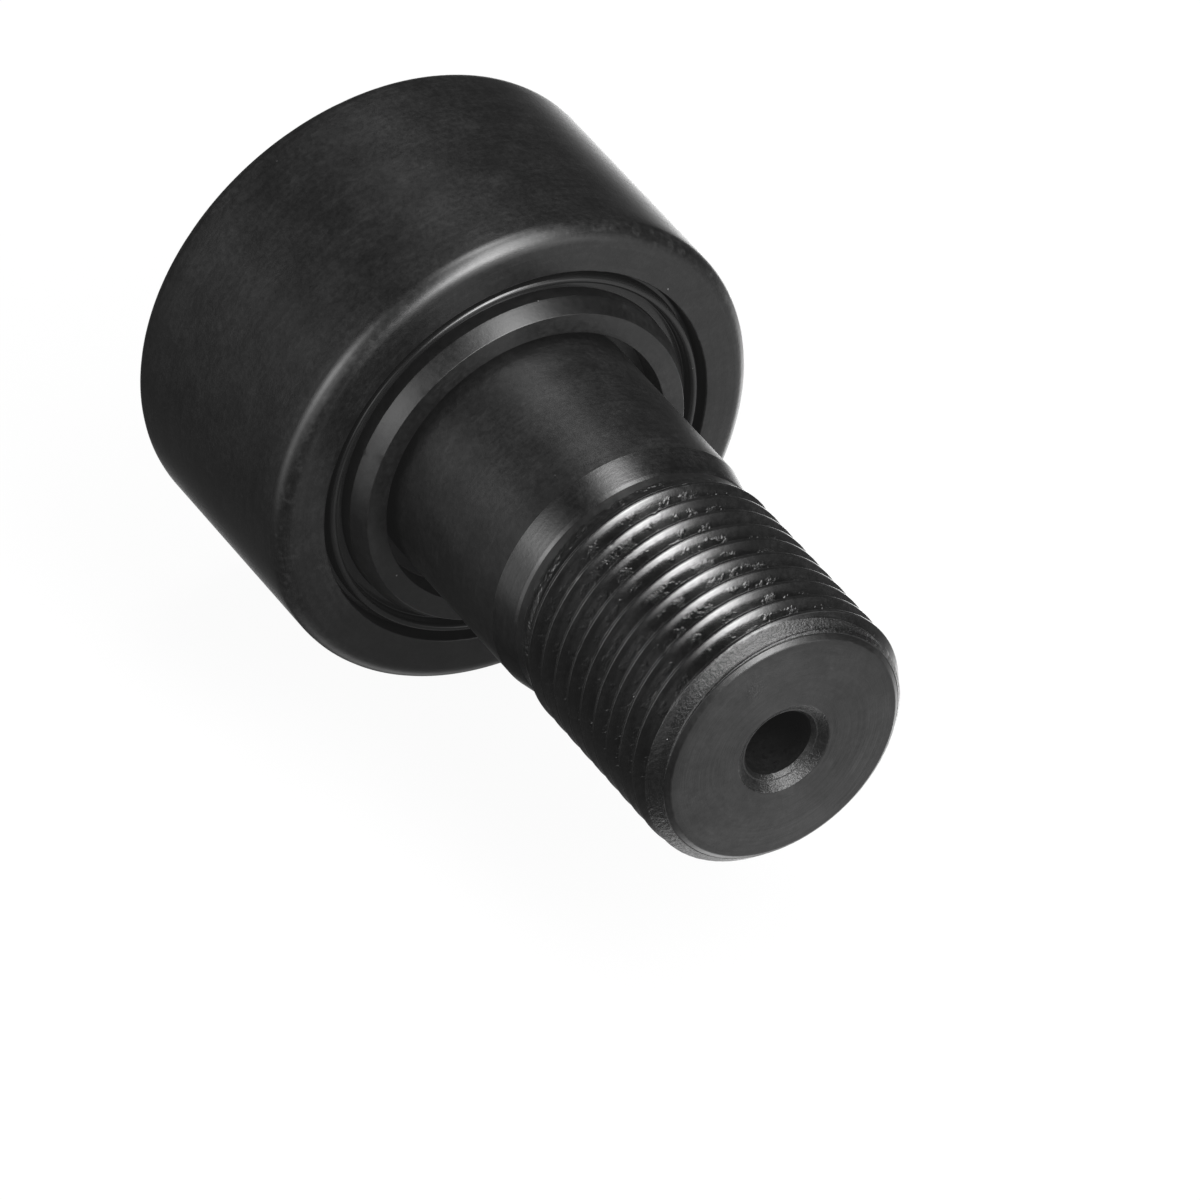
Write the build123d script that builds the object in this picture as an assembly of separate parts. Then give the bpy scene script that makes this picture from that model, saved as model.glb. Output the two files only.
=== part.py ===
from build123d import *
import math
import os

# Stud-type track roller, inch series, heavy stud. Millimetres.
# The roller turns about Y, the stud points along -Y, and the origin is the centre of the outer ring.
# "near" is the stud's side of the ring (-Y), "far" is the flange head's side (+Y).

INCH = 25.4

# Outer ring
ROLLER_DIAMETER = 1.375 * INCH
ROLLER_WIDTH = 0.75 * INCH
CORNER_RADIUS = 1.2
COUNTERBORE_RADIUS = 14.1
COUNTERBORE_DEPTH = 3.325
MOUTH_CHAMFER = 0.12

# Stud
STUD_DIAMETER = 0.75 * INCH
STUD_LENGTH = 1.25 * INCH
THREAD_LENGTH = 0.625 * INCH
THREAD_PITCH = INCH / 16
THREAD_LEAD_IN = 2.275
THREAD_RADIUS = 9.42
THREAD_DEPTH = 0.6134 * THREAD_PITCH
CREST_FLAT = THREAD_PITCH / 8
RIDGE_OVERLAP = 0.1
SHANK_LENGTH = 12.0
RELIEF_RADIUS = 9.14
RELIEF_TAPER_LENGTH = 2.2
END_FACE_RADIUS = 8.15

# Lubrication hole: along the stud from its threaded end, with one cross hole to the raceway
OIL_HOLE_RADIUS = 0.1875 * INCH / 2
OIL_HOLE_END = 1.0
OIL_TIP_LENGTH = 1.4
COUNTERSINK_RADIUS = 3.35
COUNTERSINK_DEPTH = 0.75
CROSS_HOLE_RADIUS = 1.2

# Flange head and endplate share one section; both hold the ring between them
NEAR_PROUD = 1.2
FAR_PROUD = 0.8
HUB_FACE_RADIUS = 11.88
HUB_RADIUS = 12.35
HUB_CHAMFER_LENGTH = 0.85
RIM_RADIUS = 13.8
RIM_THICKNESS = 1.5
ENDPLATE_SEAT_STEP = 0.4
ENDPLATE_BORE_CHAMFER = 0.35
HEX_ACROSS_FLATS = 0.3125 * INCH
HEX_DEPTH = 5.6

# Needles and cage
NEEDLE_COUNT = 18
NEEDLE_RADIUS = 1.25
NEEDLE_LENGTH = 11.2
NEEDLE_END_RADIUS = 0.3
INNER_RACEWAY_RADIUS = 10.05
NEEDLE_PLAY = 0.045
CAGE_THICKNESS = 1.4
CAGE_END_GAP = 0.15
POCKET_PLAY = 0.06
POCKET_END_PLAY = 0.1

# Seals
SEAL_HUB_GAP = 0.02
SEAL_RING_GAP = 0.08
SEAL_FLOOR_BELOW_FACE = 0.95
SEAL_BEAD_BELOW_FACE = 0.46
SEAL_BEAD_RADIUS = 0.16
SEAL_BEAD_CENTRE_RADIUS = 13.42
SEAL_LIP_BELOW_FACE = 1.25
SEAL_OUTER_STEP_RADIUS = 13.62

# Worked out from the above
HALF_WIDTH = ROLLER_WIDTH / 2
ROLLER_RADIUS = ROLLER_DIAMETER / 2
SHANK_RADIUS = STUD_DIAMETER / 2
ENDPLATE_SEAT_RADIUS = SHANK_RADIUS + ENDPLATE_SEAT_STEP
AXIAL_PLAY = 0.1
RING_SHOULDER_Y = HALF_WIDTH - COUNTERBORE_DEPTH
RACE_HALF_LENGTH = RING_SHOULDER_Y + AXIAL_PLAY
NEAR_FACE_Y = -HALF_WIDTH - NEAR_PROUD
FAR_FACE_Y = HALF_WIDTH + FAR_PROUD
ENDPLATE_SEAT_END_Y = NEAR_FACE_Y + ENDPLATE_BORE_CHAMFER
STUD_END_Y = NEAR_FACE_Y - STUD_LENGTH
SHANK_END_Y = NEAR_FACE_Y - SHANK_LENGTH
RELIEF_Y = SHANK_END_Y - RELIEF_TAPER_LENGTH
THREAD_START_Y = STUD_END_Y + THREAD_LENGTH
THREAD_CORE_RADIUS = THREAD_RADIUS - THREAD_DEPTH
PITCH_CIRCLE_RADIUS = INNER_RACEWAY_RADIUS + NEEDLE_PLAY + NEEDLE_RADIUS
OUTER_RACEWAY_RADIUS = PITCH_CIRCLE_RADIUS + NEEDLE_RADIUS + NEEDLE_PLAY
AXIS_ALONG_STUD = (0, -1, 0)
SAME_PLACE = 1e-4


def turned(points):
    """A solid turned about Y from a closed outline of (radius, y) points."""
    return revolve(make_face(Polyline(*points, close=True)), Axis.Y)


def rim_edges(solid, radius, y):
    """The circular edges of one radius at one place along the axis."""
    circles = solid.edges().filter_by(GeomType.CIRCLE)
    return [
        edge for edge in circles
        if abs(edge.radius - radius) < SAME_PLACE and abs(edge.arc_center.Y - y) < SAME_PLACE
    ]


def bar(radius, y_from, y_to, centre_radius=0.0):
    """A plain round bar along Y, centred on X = centre_radius."""
    length = y_to - y_from
    middle = (y_from + y_to) / 2
    return Pos(centre_radius, middle, 0) * Rot(90, 0, 0) * Cylinder(radius, length)


def make_outer_ring():
    """The roller: a thick ring with a raceway bore and a counterbore at each end."""
    ring = turned([
        (OUTER_RACEWAY_RADIUS, -RING_SHOULDER_Y),
        (COUNTERBORE_RADIUS, -RING_SHOULDER_Y),
        (COUNTERBORE_RADIUS, -HALF_WIDTH),
        (ROLLER_RADIUS, -HALF_WIDTH),
        (ROLLER_RADIUS, HALF_WIDTH),
        (COUNTERBORE_RADIUS, HALF_WIDTH),
        (COUNTERBORE_RADIUS, RING_SHOULDER_Y),
        (OUTER_RACEWAY_RADIUS, RING_SHOULDER_Y),
    ])
    for side in (-1, 1):
        ring = fillet(rim_edges(ring, ROLLER_RADIUS, side * HALF_WIDTH), CORNER_RADIUS)
        ring = chamfer(rim_edges(ring, COUNTERBORE_RADIUS, side * HALF_WIDTH), MOUTH_CHAMFER)
    return ring


def make_thread():
    """The threaded end: a core with a right-hand 60-degree ridge, chamfered at both ends."""
    flank = math.tan(math.radians(30))
    root_depth = THREAD_DEPTH + RIDGE_OVERLAP
    crest_half = CREST_FLAT / 2
    base_half = crest_half + root_depth * flank
    helix = Helix(
        pitch=THREAD_PITCH,
        height=THREAD_LENGTH + 2 * THREAD_PITCH,
        radius=THREAD_RADIUS,
        center=(0, THREAD_START_Y + THREAD_LEAD_IN, 0),
        direction=AXIS_ALONG_STUD,
    )
    start = helix @ 0
    outward = (start.X, 0, start.Z)
    section = Polyline(
        (0, crest_half),
        (-root_depth, base_half),
        (-root_depth, -base_half),
        (0, -crest_half),
        close=True,
    )
    ridge = sweep(
        Plane(origin=start, x_dir=outward, z_dir=helix % 0) * make_face(section),
        path=helix,
        is_frenet=True,
    )
    overrun = 3 * THREAD_PITCH
    core = bar(THREAD_CORE_RADIUS, STUD_END_Y - overrun, THREAD_START_Y + overrun)
    clear_of_crest = THREAD_RADIUS + RIDGE_OVERLAP
    envelope = turned([
        (0, STUD_END_Y),
        (END_FACE_RADIUS, STUD_END_Y),
        (clear_of_crest, STUD_END_Y + clear_of_crest - END_FACE_RADIUS),
        (clear_of_crest, THREAD_START_Y - clear_of_crest + RELIEF_RADIUS),
        (RELIEF_RADIUS, THREAD_START_Y),
        (0, THREAD_START_Y),
    ])
    return (core + ridge) & envelope


def make_stud():
    """Flange head, raceway, shank, thread relief and threaded end, turned in one piece."""
    runout_radius = THREAD_CORE_RADIUS - RIDGE_OVERLAP
    stud = turned([
        (0, THREAD_START_Y - RELIEF_RADIUS + runout_radius),
        (runout_radius, THREAD_START_Y - RELIEF_RADIUS + runout_radius),
        (RELIEF_RADIUS, THREAD_START_Y),
        (RELIEF_RADIUS, RELIEF_Y),
        (SHANK_RADIUS, SHANK_END_Y),
        (SHANK_RADIUS, ENDPLATE_SEAT_END_Y),
        (ENDPLATE_SEAT_RADIUS, ENDPLATE_SEAT_END_Y),
        (ENDPLATE_SEAT_RADIUS, -RACE_HALF_LENGTH),
        (INNER_RACEWAY_RADIUS, -RACE_HALF_LENGTH),
        (INNER_RACEWAY_RADIUS, RACE_HALF_LENGTH),
        (RIM_RADIUS, RACE_HALF_LENGTH),
        (RIM_RADIUS, RACE_HALF_LENGTH + RIM_THICKNESS),
        (HUB_RADIUS, RACE_HALF_LENGTH + RIM_THICKNESS),
        (HUB_RADIUS, FAR_FACE_Y - HUB_CHAMFER_LENGTH),
        (HUB_FACE_RADIUS, FAR_FACE_Y),
        (0, FAR_FACE_Y),
    ])
    stud += make_thread()
    stud -= turned([
        (0, STUD_END_Y - 1),
        (COUNTERSINK_RADIUS, STUD_END_Y - 1),
        (COUNTERSINK_RADIUS, STUD_END_Y),
        (OIL_HOLE_RADIUS, STUD_END_Y + COUNTERSINK_DEPTH),
        (OIL_HOLE_RADIUS, OIL_HOLE_END),
        (0, OIL_HOLE_END + OIL_TIP_LENGTH),
    ])
    cross_length = INNER_RACEWAY_RADIUS + 1
    stud -= Pos(0, 0, cross_length / 2) * Cylinder(CROSS_HOLE_RADIUS, cross_length)
    hexagon = RegularPolygon(HEX_ACROSS_FLATS / 2, 6, major_radius=False)
    socket_plane = Plane(origin=(0, FAR_FACE_Y, 0), x_dir=(1, 0, 0), z_dir=AXIS_ALONG_STUD)
    stud -= extrude(socket_plane * hexagon, HEX_DEPTH)
    return stud


def make_endplate():
    """The washer pressed on the stud against the raceway's shoulder."""
    return turned([
        (ENDPLATE_SEAT_RADIUS, -RACE_HALF_LENGTH),
        (RIM_RADIUS, -RACE_HALF_LENGTH),
        (RIM_RADIUS, -RACE_HALF_LENGTH - RIM_THICKNESS),
        (HUB_RADIUS, -RACE_HALF_LENGTH - RIM_THICKNESS),
        (HUB_RADIUS, NEAR_FACE_Y + HUB_CHAMFER_LENGTH),
        (HUB_FACE_RADIUS, NEAR_FACE_Y),
        (ENDPLATE_SEAT_RADIUS + ENDPLATE_BORE_CHAMFER, NEAR_FACE_Y),
        (ENDPLATE_SEAT_RADIUS, ENDPLATE_SEAT_END_Y),
    ])


def make_seal(side):
    """A lipped seal ring round the hub, with a raised bead near its outer edge."""
    def y_below_face(depth):
        return side * (HALF_WIDTH - depth)

    inner = HUB_RADIUS + SEAL_HUB_GAP
    back_y = side * (RACE_HALF_LENGTH + RIM_THICKNESS)
    seal = turned([
        (inner, back_y),
        (COUNTERBORE_RADIUS - SEAL_RING_GAP, back_y),
        (COUNTERBORE_RADIUS - SEAL_RING_GAP, y_below_face(SEAL_LIP_BELOW_FACE)),
        (SEAL_OUTER_STEP_RADIUS, y_below_face(SEAL_FLOOR_BELOW_FACE)),
        (inner, y_below_face(SEAL_FLOOR_BELOW_FACE)),
    ])
    bead_y = y_below_face(SEAL_BEAD_BELOW_FACE + SEAL_BEAD_RADIUS)
    seal += turned([
        (SEAL_BEAD_CENTRE_RADIUS - SEAL_BEAD_RADIUS, y_below_face(SEAL_FLOOR_BELOW_FACE)),
        (SEAL_BEAD_CENTRE_RADIUS + SEAL_BEAD_RADIUS, y_below_face(SEAL_FLOOR_BELOW_FACE)),
        (SEAL_BEAD_CENTRE_RADIUS + SEAL_BEAD_RADIUS, bead_y),
        (SEAL_BEAD_CENTRE_RADIUS - SEAL_BEAD_RADIUS, bead_y),
    ])
    bead = Pos(SEAL_BEAD_CENTRE_RADIUS, bead_y, 0) * Circle(SEAL_BEAD_RADIUS)
    seal += revolve(bead, Axis.Y)
    return seal


def make_cage():
    """A tube with one round-walled pocket for each needle."""
    inner = PITCH_CIRCLE_RADIUS - CAGE_THICKNESS / 2
    outer = PITCH_CIRCLE_RADIUS + CAGE_THICKNESS / 2
    half = RACE_HALF_LENGTH - CAGE_END_GAP
    cage = turned([(inner, -half), (outer, -half), (outer, half), (inner, half)])
    pocket_half = NEEDLE_LENGTH / 2 + POCKET_END_PLAY
    pocket = bar(NEEDLE_RADIUS + POCKET_PLAY, -pocket_half, pocket_half, PITCH_CIRCLE_RADIUS)
    for index in range(NEEDLE_COUNT):
        cage -= Rot(0, index * 360 / NEEDLE_COUNT, 0) * pocket
    return cage


def make_needle(index):
    """One needle roller at its own place round the raceway."""
    half = NEEDLE_LENGTH / 2
    needle = fillet(bar(NEEDLE_RADIUS, -half, half).edges(), NEEDLE_END_RADIUS)
    return Rot(0, index * 360 / NEEDLE_COUNT, 0) * Pos(PITCH_CIRCLE_RADIUS, 0, 0) * needle


os.makedirs("parts", exist_ok=True)

nodes = {
    "outer_ring": make_outer_ring(),
    "stud": make_stud(),
    "endplate": make_endplate(),
    "near_seal": make_seal(-1),
    "far_seal": make_seal(1),
    "needle_cage": make_cage(),
}
for number in range(NEEDLE_COUNT):
    nodes[f"needle_{number + 1:02d}"] = make_needle(number)

for name, shape in nodes.items():
    export_step(shape, f"parts/{name}.step")
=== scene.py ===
import math

import bpy
import numpy as np
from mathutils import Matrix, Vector


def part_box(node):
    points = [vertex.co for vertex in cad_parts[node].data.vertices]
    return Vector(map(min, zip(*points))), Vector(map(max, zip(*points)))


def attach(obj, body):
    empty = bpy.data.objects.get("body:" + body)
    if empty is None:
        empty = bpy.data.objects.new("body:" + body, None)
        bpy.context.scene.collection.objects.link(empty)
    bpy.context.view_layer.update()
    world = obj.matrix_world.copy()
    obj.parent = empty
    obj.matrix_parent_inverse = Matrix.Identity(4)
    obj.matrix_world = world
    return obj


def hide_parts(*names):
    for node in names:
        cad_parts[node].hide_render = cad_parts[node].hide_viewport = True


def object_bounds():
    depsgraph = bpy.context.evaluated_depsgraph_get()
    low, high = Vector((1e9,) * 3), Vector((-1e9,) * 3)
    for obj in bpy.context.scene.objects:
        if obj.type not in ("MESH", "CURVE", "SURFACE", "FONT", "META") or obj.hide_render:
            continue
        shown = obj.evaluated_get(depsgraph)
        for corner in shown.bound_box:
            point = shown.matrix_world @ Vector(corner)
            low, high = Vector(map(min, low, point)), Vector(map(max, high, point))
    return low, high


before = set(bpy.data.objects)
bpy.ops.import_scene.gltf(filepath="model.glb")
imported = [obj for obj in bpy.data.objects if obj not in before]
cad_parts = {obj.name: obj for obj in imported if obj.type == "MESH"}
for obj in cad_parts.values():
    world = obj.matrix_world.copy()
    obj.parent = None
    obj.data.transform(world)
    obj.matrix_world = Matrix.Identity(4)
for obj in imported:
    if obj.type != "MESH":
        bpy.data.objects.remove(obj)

bounds_at_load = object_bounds()

MM = 0.001
TURN = 2 * math.pi
SEED = 7
AROUND = 480
LONGEST_STEP = 0.9
SHARP_ANGLE = math.radians(32)

# The camera, placed from the middle of the CAD box
CAMERA_FORWARD = (0.38706, 0.65576, -0.64820)
CAMERA_AIM_OFFSET = (-0.000097, -0.004041, -0.004146)
CAMERA_DISTANCE = 0.7598
CAMERA_LENS = 358.826
SENSOR_WIDTH = 36

rng = np.random.default_rng(SEED)


def extent(node):
    """Lowest and highest corner of a CAD node, in millimetres."""
    low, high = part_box(node)
    return np.array(low) / MM, np.array(high) / MM


ring_low, ring_high = extent("outer_ring")
stud_low, stud_high = extent("stud")
plate_low, plate_high = extent("endplate")

# Sizes in millimetres, taken from the CAD boxes
RING_RADIUS = ring_high[0]
RING_FACE_Y = ring_low[1]
RIM_RADIUS = plate_high[0]
PLATE_FACE_Y = plate_low[1]
PLATE_BACK_Y = plate_high[1]
STUD_END_Y = stud_low[1]
STUD_FAR_Y = stud_high[1]

# Details of the turned parts, in millimetres unless they are called a share
RING_CORNER = 1.2
COUNTERBORE_RADIUS = 14.1
COUNTERBORE_DEPTH = 3.325
MOUTH_ROUND = 0.12
RACEWAY_BORE_RADIUS = 12.64
RACEWAY_RADIUS = 10.05
RIM_THICKNESS = 1.5
HUB_RADIUS = 12.35
HUB_FACE_RADIUS = 11.7
HUB_CHAMFER = 1.15
SEAT_RADIUS = 9.925
PLATE_RECESS_RADIUS = 10.27
PLATE_RECESS_DEPTH = 2.2
SHANK_RADIUS = 9.525
SHANK_LENGTH = 12.0
RELIEF_RADIUS = 9.05
RELIEF_TAPER = 2.22
TAPER_KNEE_RADIUS = 9.13
TAPER_KNEE = 1.95
OIL_HOLE_RADIUS = 2.38125
OIL_HOLE_END_Y = 1.0
OIL_TIP = 1.4
COUNTERSINK_RADIUS = 3.35
COUNTERSINK_DEPTH = 0.75
COUNTERSINK_STEP_RADIUS = 2.72
COUNTERSINK_STEP_SHARE = 0.6
HEX_APOTHEM = 3.96875
HEX_DEPTH = 5.6
HEX_MOUTH = 0.35
HEX_FLOOR_CORNER = 0.15
HEX_FLOOR_SHARE = 0.97
HEX_POINT_DEPTH = 0.5
HEX_POINT_SHARE = 0.04

# Thread and end of the stud, in millimetres
PITCH = 1.5875
THREAD_LENGTH = 15.875
THREAD_RADIUS = 9.42
THREAD_DEPTH = 0.6134 * PITCH
THREAD_LEAD = 2.275
THREAD_RUNOUT = 0.75
CREST_RUNOUT = 0.45 * PITCH
ROOT_RUNOUT = 0.8 * PITCH
THREAD_ROW = 0.025
FLANK_RIPPLE = 0.0012
CHAMFER_RIPPLE = 0.006
END_FACE_RADIUS = 8.15
BEVEL_RADIUS = 8.52
BEVEL_GROOVE = 0.06
END_CROWN_RADIUS = 6.2
END_CROWN = 0.1

# Shape of the thread, as shares of its pitch, and its roundings as shares of its flank
CREST_FLAT = 1 / 8
CREST_WANDER = 0.0012
CREST_ROUND = 0.014
ROOT_ROUND = 0.12

# Nicks in the thread's crest: sizes in millimetres, except the stretch, which is a
# ratio, and the band they fade over, which is in pitches from the crest
NICKS = 45
NICK_LAPS = 10
NICK_SIZE = (0.05, 0.16)
NICK_DEPTH = (0.02, 0.08)
NICK_SCATTER = 0.06
NICK_STRETCH = (0.6, 2.5)
NICK_BAND = (0.1, 0.22)

# Seals, in millimetres
SEAL_HUB_GAP = 0.02
SEAL_RING_GAP = 0.08
SEAL_FLOOR_DEPTH = 1.0
SEAL_INNER_DEPTH = 0.85
SEAL_BEAD_DEPTH = 0.15
SEAL_BEAD_RADIUS = 13.34
SEAL_BEAD_HALF = 0.27
SEAL_LIP_DEPTH = 1.15

# Where the end face has its scuffed patch
END_SCUFF = (-2.1, STUD_END_Y, 5.8)

# Places along the stud, worked out from the above
BEVEL_Y = STUD_END_Y + BEVEL_RADIUS - END_FACE_RADIUS
CHAMFER_Y = STUD_END_Y + THREAD_RADIUS - END_FACE_RADIUS
THREAD_START_Y = STUD_END_Y + THREAD_LENGTH
RUNOUT_Y = THREAD_START_Y + THREAD_RUNOUT
SHANK_END_Y = PLATE_FACE_Y - SHANK_LENGTH
RELIEF_Y = SHANK_END_Y - RELIEF_TAPER
TAPER_KNEE_Y = SHANK_END_Y - TAPER_KNEE
SEAT_END_Y = PLATE_FACE_Y + PLATE_RECESS_DEPTH

# Materials: a noise's usual lowest and highest value, and the black-oxide steel
NOISE_RANGE = (0.3, 0.7)
OXIDE_ALBEDO = 0.004
OXIDE_RELIEF = 0.004
OXIDE_TURNING_PITCH = 0.22
OXIDE_IOR = 1.5
QUARTER_TURN = 0.25


# ---------------------------------------------------------------- shapes

def rounded(corners, closed=True, steps=7):
    """Points (y, radius) along an outline whose corners (y, radius, rounding) are arcs,
    and how much each point belongs to an outward corner."""
    places = np.array([corner[:2] for corner in corners], float)
    following = np.roll(places, -1, axis=0)
    area = np.sum(places[:, 0] * following[:, 1] - following[:, 0] * places[:, 1])
    points, wear = [], []
    for index, (here, corner) in enumerate(zip(places, corners)):
        at_end = not closed and index in (0, len(corners) - 1)
        before = places[index - 1] - here
        after = places[(index + 1) % len(corners)] - here
        rounding = 0 if at_end or len(corner) < 3 else corner[2]
        if rounding == 0:
            points.append(here)
            wear.append(0.0)
            continue
        before_unit = before / np.linalg.norm(before)
        after_unit = after / np.linalg.norm(after)
        half = math.acos(np.clip(before_unit @ after_unit, -1, 1)) / 2
        reach = rounding / math.tan(half)
        bisector = before_unit + after_unit
        centre = here + bisector / np.linalg.norm(bisector) * rounding / math.sin(half)
        first = here + before_unit * reach - centre
        last = here + after_unit * reach - centre
        opening = math.pi - 2 * half
        turn_sign = np.sign(first[0] * last[1] - first[1] * last[0])
        outward = turn_sign == np.sign(area)
        for step in range(steps + 1):
            angle = turn_sign * opening * step / steps
            cosine, sine = math.cos(angle), math.sin(angle)
            arm = (first[0] * cosine - first[1] * sine, first[0] * sine + first[1] * cosine)
            points.append(centre + arm)
            wear.append(math.sin(math.pi * step / steps) if outward else 0.0)
    return subdivided(np.array(points), np.array(wear), closed)


def subdivided(points, wear, closed):
    """The same outline with no step longer than LONGEST_STEP."""
    out_points, out_wear = [], []
    count = len(points) if closed else len(points) - 1
    for index in range(count):
        here, there = points[index], points[(index + 1) % len(points)]
        pieces = max(1, math.ceil(np.linalg.norm(there - here) / LONGEST_STEP))
        for piece in range(pieces):
            share = piece / pieces
            out_points.append(here + (there - here) * share)
            out_wear.append(wear[index] * (share == 0))
    if not closed:
        out_points.append(points[-1])
        out_wear.append(wear[-1])
    return np.array(out_points), np.array(out_wear)


def dented(y, radius, wear, count, depth, spread):
    """Small knocks on the outward corners: the surface moves in at random places."""
    columns = radius.shape[1]
    angle = np.arange(columns) * TURN / columns
    rows = np.flatnonzero(wear > 0.5)
    for _ in range(count):
        row = rng.choice(rows)
        centre = rng.uniform(0, TURN)
        size = spread * rng.uniform(0.5, 1.6)
        along = (y[:, 0] - y[row, 0])[:, None] ** 2 + (radius[:, 0] - radius[row, 0])[:, None] ** 2
        turn = np.abs((angle - centre + math.pi) % TURN - math.pi)
        around = (turn * radius[row, 0])[None, :] ** 2
        hollow = depth * rng.uniform(0.3, 1.0) * np.exp(-(along + around) / size ** 2)
        radius -= hollow * wear[:, None] * np.sign(radius.mean())
    return radius


def surface(name, y, radius, wear, closed):
    """A mesh of rows of points round the Y axis: one row per step of the outline.
    An open outline is capped flat at both ends."""
    rows, columns = radius.shape
    angle = np.arange(columns) * TURN / columns
    points = np.stack([radius * np.sin(angle), y, -radius * np.cos(angle)], axis=-1)
    points = points.reshape(-1, 3) * MM
    index = np.arange(rows * columns).reshape(rows, columns)
    lower = index if closed else index[:-1]
    upper = np.roll(index, -1, axis=0) if closed else index[1:]
    quads = np.stack(
        [lower, np.roll(lower, -1, axis=1), np.roll(upper, -1, axis=1), upper], axis=-1
    ).reshape(-1, 4)
    first, second, third = (points[quads[:, corner]] for corner in range(3))
    volume = np.einsum("ij,ij->i", first, np.cross(second, third)).sum()
    if volume < 0:
        quads = quads[:, ::-1]
    faces = quads.tolist()
    if not closed:
        ends = [index[0].tolist(), index[-1].tolist()[::-1]]
        faces += [end[::-1] for end in ends] if volume < 0 else ends
    mesh = bpy.data.meshes.new(name)
    mesh.from_pydata(points.tolist(), [], faces)
    mesh.update()
    mesh.polygons.foreach_set("use_smooth", np.ones(len(faces), bool))
    mesh.set_sharp_from_angle(angle=SHARP_ANGLE)
    attribute = mesh.attributes.new("wear", "FLOAT", "POINT")
    attribute.data.foreach_set("value", np.repeat(wear, columns).astype(np.float32))
    piece = bpy.data.objects.new(name, mesh)
    bpy.context.scene.collection.objects.link(piece)
    return piece


def turned(name, corners, knocks=0, depth=0.03, spread=0.25):
    """A closed ring turned about Y, with rounded corners and a few small knocks."""
    points, wear = rounded(corners)
    y, radius = flat_rows(points)
    if knocks:
        radius = dented(y, radius, wear, knocks, depth, spread)
    return surface(name, y, radius, wear, True)


def smooth_step(value, low, high):
    """0 below low, 1 above high, and smooth between them."""
    share = np.clip((value - low) / (high - low), 0, 1)
    return share * share * (3 - 2 * share)


def ripples(angle, y, waves, around, along):
    """Slow random waviness over a surface, from -1 to 1."""
    total = np.zeros(np.broadcast(angle, y).shape)
    for _ in range(waves):
        turns = rng.integers(1, around)
        rate = rng.uniform(-along, along)
        total += np.sin(turns * angle + rate * y + rng.uniform(0, TURN))
    return total / math.sqrt(waves)


def thread_rows():
    """The threaded end as rows (y, radius), from the relief to the end's bevel."""
    count = round((RUNOUT_Y - BEVEL_Y) / THREAD_ROW)
    y = np.linspace(RUNOUT_Y, BEVEL_Y, count)[:, None]
    angle = (np.arange(AROUND) * TURN / AROUND)[None, :]
    y = y + 0 * angle
    crest_y = THREAD_START_Y + THREAD_LEAD - PITCH * angle / TURN
    from_crest = (y - crest_y) / PITCH
    from_crest -= np.round(from_crest)
    from_crest = from_crest + CREST_WANDER * ripples(angle, y, 16, 12, 1.0)
    away = np.abs(from_crest)
    past = away - CREST_FLAT / 2
    flank = 0.5 * (past + np.hypot(past, CREST_ROUND)) / (0.5 - CREST_FLAT)
    flank = 1 - 0.5 * (1 - flank + np.hypot(1 - flank, ROOT_ROUND))
    into_thread = RUNOUT_Y - y
    depth = THREAD_DEPTH * smooth_step(into_thread, 0.0, ROOT_RUNOUT)
    rise = smooth_step(into_thread, 0.0, CREST_RUNOUT)
    top = RELIEF_RADIUS + (THREAD_RADIUS - RELIEF_RADIUS) * rise
    radius = top - depth * flank
    near_crest = 1 - smooth_step(away, *NICK_BAND)
    for _ in range(NICKS):
        centre_angle = rng.uniform(0, TURN)
        turn = np.abs((angle - centre_angle + math.pi) % TURN - math.pi) * THREAD_RADIUS
        lap = rng.integers(0, NICK_LAPS)
        centre_y = THREAD_START_Y + THREAD_LEAD - PITCH * (centre_angle / TURN + lap + 1)
        centre_y += rng.normal(0, NICK_SCATTER)
        size = rng.uniform(*NICK_SIZE)
        long_size = size * rng.uniform(*NICK_STRETCH)
        hit = np.exp(-(turn / long_size) ** 2 - ((y - centre_y) / size) ** 2)
        radius = radius - rng.uniform(*NICK_DEPTH) * hit * near_crest
    radius = radius + FLANK_RIPPLE * ripples(angle, y, 30, 60, 6.0)
    chamfer = END_FACE_RADIUS + (y - STUD_END_Y)
    chamfer = chamfer + CHAMFER_RIPPLE * ripples(angle, y, 30, 120, 20.0)
    return y, np.minimum(radius, chamfer)


def flat_rows(points):
    """Rows round the axis for plain (y, radius) points."""
    y = np.repeat(points[:, :1], AROUND, axis=1)
    radius = np.repeat(points[:, 1:], AROUND, axis=1)
    return y, radius


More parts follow.
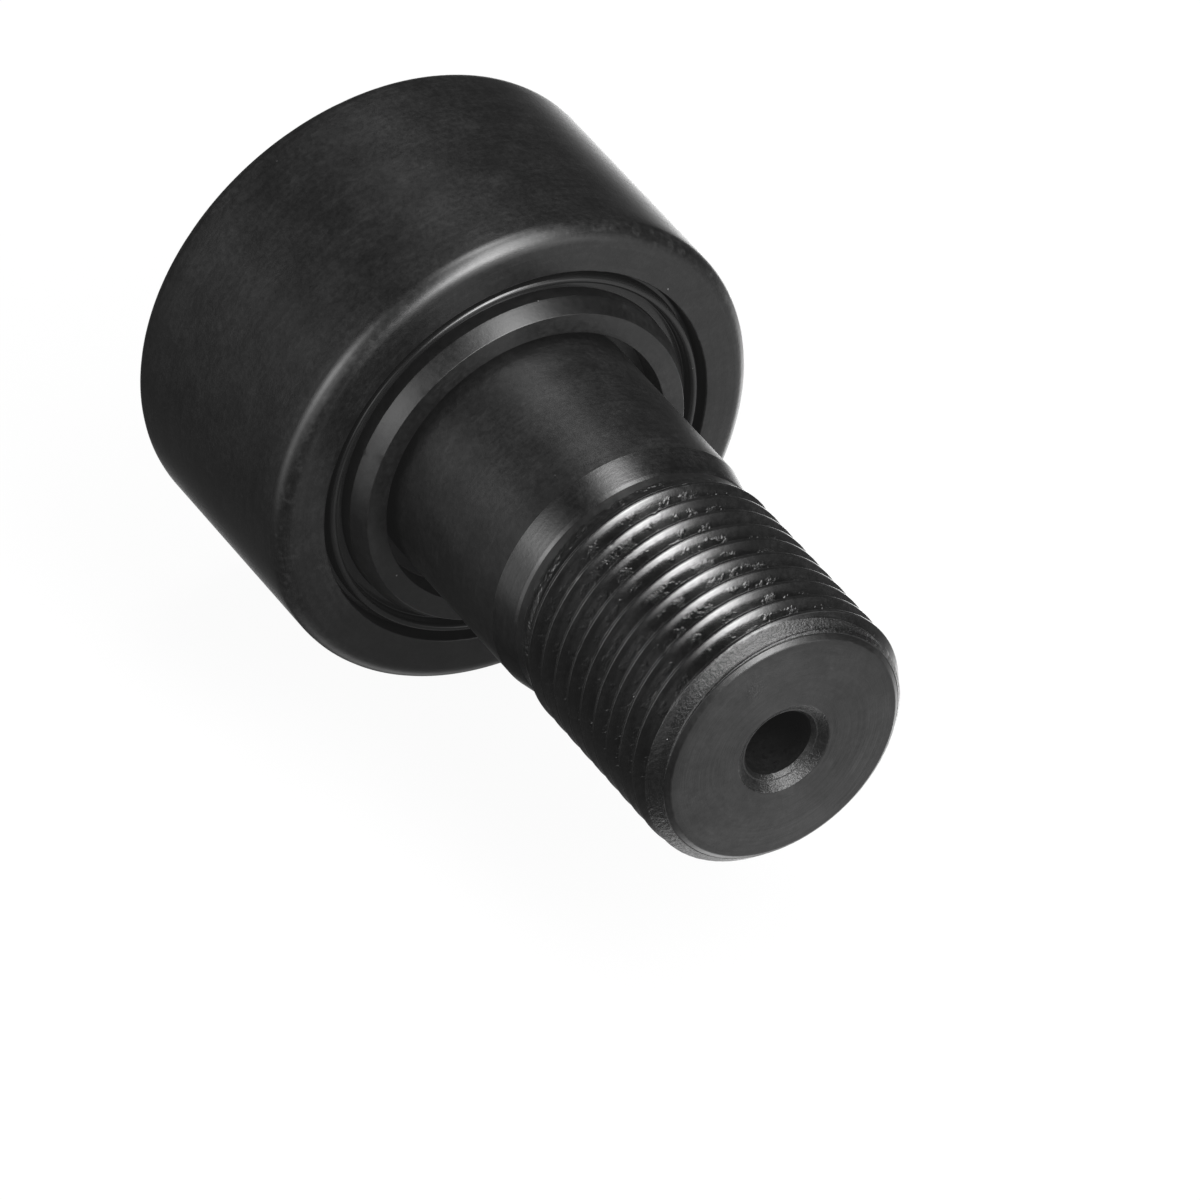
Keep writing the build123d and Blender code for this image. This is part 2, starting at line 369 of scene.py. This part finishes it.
def make_stud():
    """The stud in one skin, from its hexagon socket to the tip of its lubrication hole."""
    angle = np.arange(AROUND) * TURN / AROUND
    sixth = TURN / 6
    hexagon = HEX_APOTHEM / np.cos((angle - sixth / 2) % sixth - sixth / 2)
    socket_floor_y = STUD_FAR_Y - HEX_DEPTH
    mouth = np.maximum(hexagon, HEX_APOTHEM + HEX_MOUTH)
    socket_y = [socket_floor_y - HEX_POINT_DEPTH, socket_floor_y]
    socket_y += [socket_floor_y + HEX_FLOOR_CORNER, STUD_FAR_Y - HEX_MOUTH, STUD_FAR_Y]
    socket_radius = [HEX_POINT_SHARE * hexagon, HEX_FLOOR_SHARE * hexagon]
    socket_radius += [hexagon, hexagon, mouth]
    rows_y = [np.repeat(np.array(socket_y)[:, None], AROUND, axis=1)]
    rows_radius = [np.array(socket_radius)]
    wear = [np.zeros(len(socket_y))]

    head_back_y = -PLATE_BACK_Y
    outer, outer_wear = rounded([
        (STUD_FAR_Y, HEX_APOTHEM + 2 * HEX_MOUTH),
        (STUD_FAR_Y, HUB_FACE_RADIUS, 0.12),
        (STUD_FAR_Y - HUB_CHAMFER, HUB_RADIUS, 0.2),
        (head_back_y + RIM_THICKNESS, HUB_RADIUS, 0.1),
        (head_back_y + RIM_THICKNESS, RIM_RADIUS, 0.1),
        (head_back_y, RIM_RADIUS, 0.1),
        (head_back_y, RACEWAY_RADIUS, 0.1),
        (PLATE_BACK_Y, RACEWAY_RADIUS),
        (PLATE_BACK_Y, SEAT_RADIUS),
        (SEAT_END_Y, SEAT_RADIUS),
        (SEAT_END_Y, SHANK_RADIUS),
        (SHANK_END_Y, SHANK_RADIUS, 0.06),
        (TAPER_KNEE_Y, TAPER_KNEE_RADIUS, 0.6),
        (RELIEF_Y, RELIEF_RADIUS, 0.3),
        (RUNOUT_Y + 0.02, RELIEF_RADIUS),
    ], closed=False)
    y, radius = flat_rows(outer)
    rows_y.append(y)
    rows_radius.append(radius)
    wear.append(outer_wear)

    y, radius = thread_rows()
    rows_y.append(y)
    rows_radius.append(radius)
    wear.append(np.zeros(len(y)))

    step_y = STUD_END_Y + COUNTERSINK_STEP_SHARE * COUNTERSINK_DEPTH
    end, end_wear = rounded([
        (BEVEL_Y - 0.01, BEVEL_RADIUS - BEVEL_GROOVE),
        (BEVEL_Y - 0.05, BEVEL_RADIUS - BEVEL_GROOVE),
        (STUD_END_Y + END_CROWN, END_FACE_RADIUS, 0.3),
        (STUD_END_Y, END_CROWN_RADIUS, 3.0),
        (STUD_END_Y, COUNTERSINK_RADIUS, 0.03),
        (step_y, COUNTERSINK_STEP_RADIUS, 0.04),
        (step_y + 0.03, COUNTERSINK_STEP_RADIUS - 0.1, 0.03),
        (STUD_END_Y + COUNTERSINK_DEPTH, OIL_HOLE_RADIUS, 0.08),
        (OIL_HOLE_END_Y, OIL_HOLE_RADIUS),
        (OIL_HOLE_END_Y + OIL_TIP, 0.05),
    ], closed=False)
    y, radius = flat_rows(end)
    rows_y.append(y)
    rows_radius.append(radius)
    wear.append(end_wear)
    y, radius, wear = (np.concatenate(rows) for rows in (rows_y, rows_radius, wear))
    return surface("stud_skin", y, radius, wear, False)


def make_ring():
    """The roller, with its rounded corners and its two counterbores."""
    face = -RING_FACE_Y
    shoulder = face - COUNTERBORE_DEPTH
    return turned("outer_ring_skin", [
        (-face, COUNTERBORE_RADIUS, MOUTH_ROUND),
        (-face, RING_RADIUS, RING_CORNER),
        (face, RING_RADIUS, RING_CORNER),
        (face, COUNTERBORE_RADIUS, MOUTH_ROUND),
        (shoulder, COUNTERBORE_RADIUS, 0.2),
        (shoulder, RACEWAY_BORE_RADIUS, 0.15),
        (-shoulder, RACEWAY_BORE_RADIUS, 0.15),
        (-shoulder, COUNTERBORE_RADIUS, 0.2),
    ], knocks=40)


def make_endplate():
    """The washer round the stud, its outer corner turned to a cone."""
    rim_y = PLATE_BACK_Y - RIM_THICKNESS
    return turned("endplate_skin", [
        (PLATE_BACK_Y, SEAT_RADIUS),
        (PLATE_BACK_Y, RIM_RADIUS, 0.15),
        (rim_y, RIM_RADIUS, 0.15),
        (rim_y, HUB_RADIUS),
        (PLATE_FACE_Y + HUB_CHAMFER, HUB_RADIUS, 0.12),
        (PLATE_FACE_Y, HUB_FACE_RADIUS, 0.05),
        (PLATE_FACE_Y, PLATE_RECESS_RADIUS, 0.06),
        (SEAT_END_Y, PLATE_RECESS_RADIUS, 0.05),
        (SEAT_END_Y, SEAT_RADIUS),
    ], knocks=10, depth=0.015, spread=0.2)


def make_seal(name, side):
    """A seal: a channel beside the hub, then a raised bead, then a low outer lip."""
    face = -RING_FACE_Y
    back = -PLATE_BACK_Y + RIM_THICKNESS
    inner = HUB_RADIUS + SEAL_HUB_GAP
    outer = COUNTERBORE_RADIUS - SEAL_RING_GAP
    bead_in = SEAL_BEAD_RADIUS - SEAL_BEAD_HALF
    bead_out = SEAL_BEAD_RADIUS + SEAL_BEAD_HALF
    return turned(name, [(side * y, radius, rounding) for y, radius, rounding in [
        (back, inner, 0.02),
        (back, outer, 0.1),
        (face - SEAL_LIP_DEPTH, outer, 0.1),
        (face - SEAL_LIP_DEPTH, bead_out + 0.04, 0.08),
        (face - SEAL_BEAD_DEPTH, bead_out, 0.26),
        (face - SEAL_BEAD_DEPTH, bead_in, 0.26),
        (face - SEAL_FLOOR_DEPTH, bead_in - 0.04, 0.1),
        (face - SEAL_INNER_DEPTH, inner, 0.04),
    ]])


# ---------------------------------------------------------------- materials

class Nodes:
    """Short ways to add nodes to a node tree."""

    def __init__(self, tree):
        self.tree = tree
        tree.nodes.clear()

    def node(self, kind, settings=(), **inputs):
        node = self.tree.nodes.new(kind)
        for key, value in dict(settings).items():
            setattr(node, key, value)
        for key, value in inputs.items():
            self.connect(node.inputs[key.replace("_", " ")], value)
        return node

    def connect(self, socket, value):
        if isinstance(value, bpy.types.NodeSocket):
            self.tree.links.new(value, socket)
        else:
            socket.default_value = value

    def connect_in_order(self, sockets, values):
        for socket, value in zip(sockets, values):
            self.connect(socket, value)

    def maths(self, operation, *values, clamp=False):
        node = self.node("ShaderNodeMath", {"operation": operation, "use_clamp": clamp})
        self.connect_in_order(node.inputs, values)
        return node.outputs[0]

    def vector(self, operation, *values, **inputs):
        node = self.node("ShaderNodeVectorMath", {"operation": operation}, **inputs)
        self.connect_in_order(node.inputs, values)
        return node.outputs[0]

    def measure(self, operation, *values):
        """Vector maths whose result is a number."""
        node = self.node("ShaderNodeVectorMath", {"operation": operation})
        self.connect_in_order(node.inputs, values)
        return node.outputs["Value"]


class Shader(Nodes):
    """A procedural material. Inside it, lengths are millimetres on the object at rest."""

    def __init__(self, name):
        self.material = bpy.data.materials.new(name)
        self.material.use_nodes = True
        super().__init__(self.material.node_tree)
        place = self.node("ShaderNodeTexCoord").outputs["Object"]
        self.place = self.vector("SCALE", place, Scale=1 / MM)
        split = self.node("ShaderNodeSeparateXYZ", Vector=self.place)
        self.x, self.y, self.z = split.outputs
        square = self.maths("MULTIPLY", self.x, self.x)
        self.radius = self.maths("SQRT", self.maths("MULTIPLY_ADD", self.z, self.z, square))
        self.cosine = self.maths("DIVIDE", self.x, self.radius)
        self.sine = self.maths("DIVIDE", self.z, self.radius)
        self.normal = None

    def step(self, value, low, high, start=0.0, end=1.0):
        """start below low, end above high, smooth between them."""
        node = self.node("ShaderNodeMapRange", {"interpolation_type": "SMOOTHSTEP"}, Value=value)
        ends = [node.inputs[key] for key in ("From Min", "From Max", "To Min", "To Max")]
        self.connect_in_order(ends, (low, high, start, end))
        return node.outputs[0]

    def stretch(self, noise, start=0.0, end=1.0):
        """A noise spread out so that it runs from start to end."""
        return self.step(noise, *NOISE_RANGE, start, end)

    def between(self, value, low, high, soft):
        """1 between low and high, 0 outside, with soft edges."""
        rising = self.step(value, low - soft, low + soft)
        falling = self.step(value, high - soft, high + soft, 1.0, 0.0)
        return self.maths("MULTIPLY", rising, falling)

    def mix(self, share, first, second):
        node = self.node("ShaderNodeMix", {"data_type": "FLOAT"})
        self.connect_in_order(node.inputs[:1] + node.inputs[2:4], (share, first, second))
        return node.outputs[0]

    def product(self, first, second, *others):
        total = self.maths("MULTIPLY", first, second)
        for other in others:
            total = self.maths("MULTIPLY", total, other)
        return total

    def noise(self, size, detail=2.0, roughness=0.5):
        """Cloudy noise with features of about this size."""
        return self.node(
            "ShaderNodeTexNoise",
            Vector=self.place,
            Scale=1 / size,
            Detail=detail,
            Roughness=roughness,
        ).outputs[0]

    def turning(self, pitch, streak, detail=3.0):
        """Fine marks that run round the axis; streak is how quickly they fade round it."""
        place = self.node(
            "ShaderNodeCombineXYZ",
            X=self.maths("MULTIPLY", self.radius, 1 / pitch),
            Y=self.maths("MULTIPLY", self.y, 1 / pitch),
            Z=self.maths("MULTIPLY", self.cosine, streak),
        ).outputs[0]
        return self.node(
            "ShaderNodeTexNoise",
            {"noise_dimensions": "4D"},
            Vector=place,
            W=self.maths("MULTIPLY", self.sine, streak),
            Scale=1.0,
            Detail=detail,
            Roughness=0.6,
        ).outputs[0]

    def from_crest(self):
        """How far a point lies from the nearest thread crest: -0.5 to 0.5 of a pitch."""
        angle = self.maths("ARCTAN2", self.x, self.maths("MULTIPLY", self.z, -1.0))
        start = 0.5 - (THREAD_START_Y + THREAD_LEAD) / PITCH
        laps = self.maths("MULTIPLY_ADD", angle, 1 / TURN, start)
        laps = self.maths("MULTIPLY_ADD", self.y, 1 / PITCH, laps)
        return self.maths("SUBTRACT", self.maths("FRACT", laps), 0.5)

    def cells(self, spacing):
        """A Voronoi node with cells about this wide, and three random numbers per cell."""
        node = self.node(
            "ShaderNodeTexVoronoi", {"feature": "F1"}, Vector=self.place, Scale=1 / spacing
        )
        return node, self.node("ShaderNodeSeparateColor", Color=node.outputs["Color"]).outputs

    def chosen(self, chance, share):
        """1 in this share of the cells, by their random number."""
        return self.step(chance, 1 - share, 1 - 0.9 * share)

    def specks(self, spacing, size, share):
        """Small round specks, one in this share of the cells."""
        node, chances = self.cells(spacing)
        reach = size / spacing
        near = self.step(node.outputs["Distance"], 0.5 * reach, reach, 1.0, 0.0)
        return self.product(near, self.chosen(chances[0], share))

    def dashes(self, spacing, length, width, share):
        """Short straight scratches, one in this share of the cells, each its own way."""
        node, chances = self.cells(spacing)
        cell = self.vector("SCALE", node.outputs["Position"], Scale=spacing)
        centred = self.vector("SUBTRACT", node.outputs["Color"], (0.5, 0.5, 0.5))
        way = self.vector("NORMALIZE", centred)
        offset = self.vector("SUBTRACT", self.place, cell)
        along = self.maths("ABSOLUTE", self.measure("DOT_PRODUCT", offset, way))
        aside = self.measure("LENGTH", self.vector("CROSS_PRODUCT", offset, way))
        thin = self.step(aside, 0.4 * width, width, 1.0, 0.0)
        short = self.step(along, 0.3 * length, 0.5 * length, 1.0, 0.0)
        return self.product(thin, short, self.chosen(chances[2], share))

    def bump(self, height, distance):
        """Adds relief: height 1 stands this many millimetres proud of height 0."""
        inputs = {"Height": height, "Distance": distance * MM, "Strength": 1.0}
        if self.normal is not None:
            inputs["Normal"] = self.normal
        self.normal = self.node("ShaderNodeBump", **inputs).outputs[0]

    def close(self, surface_output):
        """Gives the material its surface."""
        self.node("ShaderNodeOutputMaterial", Surface=surface_output)
        return self.material

    def finish(self, albedo, roughness, coat=0.0, **constants):
        """Closes the material with one principled shader, grey and turned about Y."""
        grey = self.node("ShaderNodeCombineColor", Red=albedo, Green=albedo, Blue=albedo)
        around = self.node("ShaderNodeTangent", {"direction_type": "RADIAL", "axis": "Y"})
        inputs = {"Base_Color": grey.outputs[0], "Tangent": around.outputs[0]}
        inputs.update(Roughness=roughness, Coat_Weight=coat, **constants)
        if self.normal is not None:
            inputs["Normal"] = self.normal
        return self.close(self.node("ShaderNodeBsdfPrincipled", **inputs).outputs[0])


def oxide_steel(name, roughness):
    """Black-oxide steel: dark, softly glossy, turned, lightly scratched, and specked with pale
    dust and painted glints.
    """
    s = Shader(name)
    marks = s.turning(OXIDE_TURNING_PITCH, 1.5)
    clouds = s.noise(2.4, 4.0, 0.62)
    grain = s.noise(0.38, 4.0, 0.75)
    lines = s.maths("MAXIMUM", s.dashes(1.3, 1.1, 0.04, 0.1), s.dashes(0.7, 0.6, 0.03, 0.06))
    # Pale specks: partly dust, partly painted glints that stand in for highlights
    dust_and_glints = s.maths("MAXIMUM", s.specks(1.9, 0.08, 0.07), s.specks(0.8, 0.05, 0.02))
    scratches = s.product(lines, -1.0)
    for height, share in ((marks, 1.2), (grain, 2.6), (scratches, 0.8), (dust_and_glints, 5.0)):
        s.bump(height, share * OXIDE_RELIEF)
    wear = s.node("ShaderNodeAttribute", {"attribute_name": "wear"}).outputs["Fac"]
    rubbed = s.product(wear, s.step(s.noise(0.5, 3.0), 0.5, 0.75))
    mottle = s.product(s.stretch(clouds, 0.55, 1.45), s.stretch(grain, 0.4, 1.6))
    colour = s.product(mottle, s.stretch(marks, 0.7, 1.3), OXIDE_ALBEDO)
    # Paler rubbed edges and scratches, then the pale specks of dust and painted glints
    for mark, paler in ((rubbed, 0.01), (lines, 0.015), (dust_and_glints, 0.25)):
        colour = s.maths("MULTIPLY_ADD", mark, paler, colour)
    rough = s.mix(clouds, roughness - 0.03, roughness + 0.03)
    rough = s.maths("ADD", rough, s.mix(grain, -0.07, 0.07), clamp=True)
    return s, colour, rough


def make_turned_material(name, roughness):
    """Black-oxide steel for the ring and the endplate."""
    s, colour, rough = oxide_steel(name, roughness)
    return s.finish(
        colour, rough, IOR=OXIDE_IOR, Anisotropic=0.3, Anisotropic_Rotation=QUARTER_TURN
    )


def make_stud_material():
    """Black-oxide steel with a smoother taper, an oily thread and a scaly end chamfer."""
    s, colour, rough = oxide_steel("black_oxide_stud", 0.35)
    ragged = s.maths("ADD", s.y, s.mix(s.noise(0.8, 4.0, 0.6), -0.35, 0.35))
    outside = s.step(s.radius, 0.8 * THREAD_RADIUS, 0.85 * THREAD_RADIUS)
    taper = s.product(outside, s.between(s.y, RELIEF_Y, SHANK_END_Y, 0.05))
    thread = s.product(outside, s.between(ragged, CHAMFER_Y, RUNOUT_Y + 0.25, 0.15))
    chamfer = s.product(outside, s.between(s.y, BEVEL_Y, CHAMFER_Y, 0.03))
    face = s.step(s.y, STUD_END_Y + 0.07, STUD_END_Y + 0.1, 1.0, 0.0)
    mouth = s.step(s.radius, COUNTERSINK_RADIUS - 0.05, COUNTERSINK_RADIUS, 1.0, 0.0)

    crest = s.maths("ABSOLUTE", s.from_crest())
    down = s.maths("ADD", crest, s.mix(s.noise(0.45, 3.0, 0.6), -0.12, 0.12))
    lips = s.product(s.between(crest, 0.05, 0.075, 0.012), thread)
    scales = s.noise(0.28, 4.0, 0.75)
    patches = s.step(s.noise(1.1, 3.0, 0.6), 0.5, 0.6)
    glitter = s.product(thread, s.step(down, 0.2, 0.3), patches, scales)
    crust = s.product(scales, s.maths("MAXIMUM", chamfer, mouth))
    rings = s.product(s.stretch(s.turning(0.35, 1.2)), face)
    stain = s.product(face, s.step(s.noise(1.6, 5.0, 0.7), 0.35, 0.65))
    scuff_distance = s.measure("DISTANCE", s.place, END_SCUFF)
    scuff = s.product(s.step(scuff_distance, 0.3, 1.1, 1.0, 0.0), s.noise(0.2, 3.0, 0.6))
    reliefs = (lips, 0.025), (glitter, 0.06), (crust, 0.06), (rings, 0.007), (scuff, 0.06)
    for height, distance in reliefs:
        s.bump(height, distance)
    for mark, paler in ((rings, 0.002), (stain, 0.005)):
        colour = s.maths("MULTIPLY_ADD", mark, paler, colour)
    for zone, change in ((taper, -0.14), (thread, -0.17), (chamfer, -0.14), (mouth, -0.06)):
        rough = s.maths("MULTIPLY_ADD", zone, change, rough, clamp=True)
    oil = s.product(thread, s.step(down, 0.1, 0.3, 1.0, 0.0), 0.5)
    return s.finish(
        colour, rough, oil, Coat_Roughness=0.12,
        IOR=OXIDE_IOR, Anisotropic=0.45, Anisotropic_Rotation=QUARTER_TURN,
    )


def make_seal_material():
    """Black moulded plastic, faintly rippled round the axis and a little dusty."""
    s = Shader("black_seal")
    clouds = s.noise(1.8, 3.0)
    s.bump(s.turning(0.5, 1.0, 2.0), 0.002)
    s.bump(s.noise(0.12, 3.0, 0.6), 0.004)
    colour = s.product(s.mix(clouds, 0.6, 1.3), 0.007)
    colour = s.maths("MULTIPLY_ADD", s.specks(1.2, 0.07, 0.08), 0.1, colour)
    return s.finish(colour, s.mix(clouds, 0.1, 0.22), IOR=1.5, Specular_IOR_Level=0.45)


def make_needle_material():
    """Ground bearing steel with a film of grease."""
    s = Shader("ground_needle_steel")
    grain = s.turning(0.15, 3.0)
    clouds = s.noise(1.2, 3.0)
    s.bump(grain, 0.002)
    return s.finish(s.mix(clouds, 0.34, 0.5), s.mix(grain, 0.16, 0.3), Metallic=1.0)


def make_cage_material():
    """Pressed steel cage, phosphated grey."""
    s = Shader("phosphated_cage_steel")
    grain = s.noise(0.1, 3.0, 0.7)
    clouds = s.noise(1.5, 4.0)
    s.bump(grain, 0.008)
    colour = s.product(s.mix(clouds, 0.7, 1.2), 0.12)
    return s.finish(colour, s.mix(grain, 0.4, 0.6), Metallic=0.6)


# ---------------------------------------------------------------- studio

# Soft lamps of the studio: direction towards the lamp, half width in degrees, strength
LAMPS = (
    ((0.20, 0.15, 0.95), 12, 14.0),
    ((0.29, -0.40, 0.86), 13, 12.5),
    ((0.25, -0.69, 0.68), 12, 13.5),
    ((0.20, -0.88, 0.42), 12, 22.0),
    ((0.34, -0.92, -0.10), 15, 3.0),
    ((-0.86, 0.05, 0.50), 16, 8.0),
    ((-0.95, 0.10, -0.05), 17, 2.2),
    ((-0.78, -0.55, 0.30), 15, 2.0),
    ((0.45, -0.45, -0.77), 28, 0.8),
    ((0.72, 0.10, -0.68), 12, 4.0),
    ((0.12, 0.02, -0.99), 14, 3.8),
    ((0.50, 0.60, -0.62), 13, 3.8),
)
AMBIENT = 0.05
VEIL = 0.007
FLOOR_REACH = 4.0 / MM
FLOOR_ALBEDO = 0.03
FLOOR_GLOW = 0.95
SHADE_CENTRE = (-4.0, -17.0, ring_low[2] + 0.1)
SHADE_REACH = 21.0
SHADE_DEPTH = 0.7


def light_studio():
    """A dark room with soft lamps round the object."""
    world = bpy.data.worlds.new("soft_studio")
    bpy.context.scene.world = world
    world.use_nodes = True
    room = Nodes(world.node_tree)
    direction = room.node("ShaderNodeTexCoord").outputs["Generated"]
    total = AMBIENT
    for towards, spread, strength in LAMPS:
        facing = room.measure("DOT_PRODUCT", direction, Vector(towards).normalized())
        sharpness = 1 / (1 - math.cos(math.radians(spread)))
        lobe = room.maths(
            "EXPONENT", room.maths("MULTIPLY_ADD", facing, sharpness, -sharpness)
        )
        total = room.maths("MULTIPLY_ADD", lobe, strength, total)
    background = room.node("ShaderNodeBackground", Strength=total, Color=(1, 1, 1, 1))
    room.node("ShaderNodeOutputWorld", Surface=background.outputs[0])


def level_sheet(name, centre, reach, material):
    """A level square sheet, in millimetres round its centre, that casts no shadow."""
    mesh = bpy.data.meshes.new(name)
    corners = [(-1, -1, 0), (1, -1, 0), (1, 1, 0), (-1, 1, 0)]
    places = [(Vector(centre) + Vector(corner) * reach) * MM for corner in corners]
    mesh.from_pydata(places, [], [(0, 1, 2, 3)])
    mesh.materials.append(material)
    sheet = bpy.data.objects.new(name, mesh)
    bpy.context.scene.collection.objects.link(sheet)
    sheet.visible_diffuse = False
    sheet.visible_transmission = False
    sheet.visible_shadow = False
    return sheet


def make_floor():
    """A wide white sheet under the roller, which only the camera sees."""
    material = bpy.data.materials.new("white_floor")
    material.use_nodes = True
    shader = material.node_tree.nodes["Principled BSDF"]
    for key, value in {
        "Base Color": (FLOOR_ALBEDO, FLOOR_ALBEDO, FLOOR_ALBEDO, 1),
        "Roughness": 1.0,
        "Specular IOR Level": 0.0,
        "Emission Color": (1, 1, 1, 1),
        "Emission Strength": FLOOR_GLOW,
    }.items():
        shader.inputs[key].default_value = value
    floor = level_sheet("floor", (0, 0, ring_low[2]), FLOOR_REACH, material)
    floor.visible_glossy = False


def make_floor_shade():
    """The dim patch of floor under the roller: a dark sheet of painted shade for the contact
    shadow, which only reflections see.
    """
    s = Shader("floor_shade")
    black = s.node("ShaderNodeBsdfDiffuse", Color=(0, 0, 0, 1)).outputs[0]
    clear = s.node("ShaderNodeBsdfTransparent").outputs[0]
    distance = s.measure("DISTANCE", s.place, SHADE_CENTRE)
    share = s.step(distance, 0.5 * SHADE_REACH, SHADE_REACH, SHADE_DEPTH, 0.0)
    blend = s.node("ShaderNodeMixShader")
    s.connect_in_order(blend.inputs, (share, clear, black))
    patch = level_sheet("floor_shade", SHADE_CENTRE, SHADE_REACH, s.close(blend.outputs[0]))
    patch.visible_camera = False


def place_camera():
    """The camera at the photograph's angle."""
    low, high = bounds_at_load
    aim = (low + high) / 2 + Vector(CAMERA_AIM_OFFSET)
    forward = Vector(CAMERA_FORWARD).normalized()
    data = bpy.data.cameras.new("camera")
    data.lens = CAMERA_LENS
    data.sensor_width = SENSOR_WIDTH
    camera = bpy.data.objects.new("camera", data)
    bpy.context.scene.collection.objects.link(camera)
    camera.location = aim - forward * CAMERA_DISTANCE
    camera.rotation_euler = forward.to_track_quat("-Z", "Y").to_euler()
    bpy.context.scene.camera = camera


def fit(piece, body, slot, material, *nodes):
    """Gives a piece its material and body, and hides the CAD nodes it stands for. The slot is not
    used.
    """
    piece.data.materials.append(material)
    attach(piece, body)
    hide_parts(*nodes)


ring_material = make_turned_material("black_oxide_ring", 0.31)
plate_material = make_turned_material("black_oxide_endplate", 0.33)
fit(make_ring(), "roller", "ring_steel", ring_material, "outer_ring")
fit(make_stud(), "stud_side", "stud_steel", make_stud_material(), "stud")
fit(make_endplate(), "stud_side", "endplate_steel", plate_material, "endplate")
seal_material = make_seal_material()
fit(make_seal("near_seal_skin", -1), "stud_side", "seal_plastic", seal_material, "near_seal")
fit(make_seal("far_seal_skin", 1), "stud_side", "seal_plastic", seal_material, "far_seal")

needle_material = make_needle_material()
cage_material = make_cage_material()
for node_name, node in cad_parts.items():
    if node_name.startswith("needle_"):
        material = cage_material if node_name == "needle_cage" else needle_material
        for material_slot in node.material_slots:
            material_slot.link = "OBJECT"
            material_slot.material = material

make_floor()
make_floor_shade()
light_studio()
place_camera()
view = bpy.context.scene.view_settings
view.view_transform = "Standard"
view.use_curve_mapping = True
view.curve_mapping.black_level = (-VEIL, -VEIL, -VEIL)
view.curve_mapping.update()
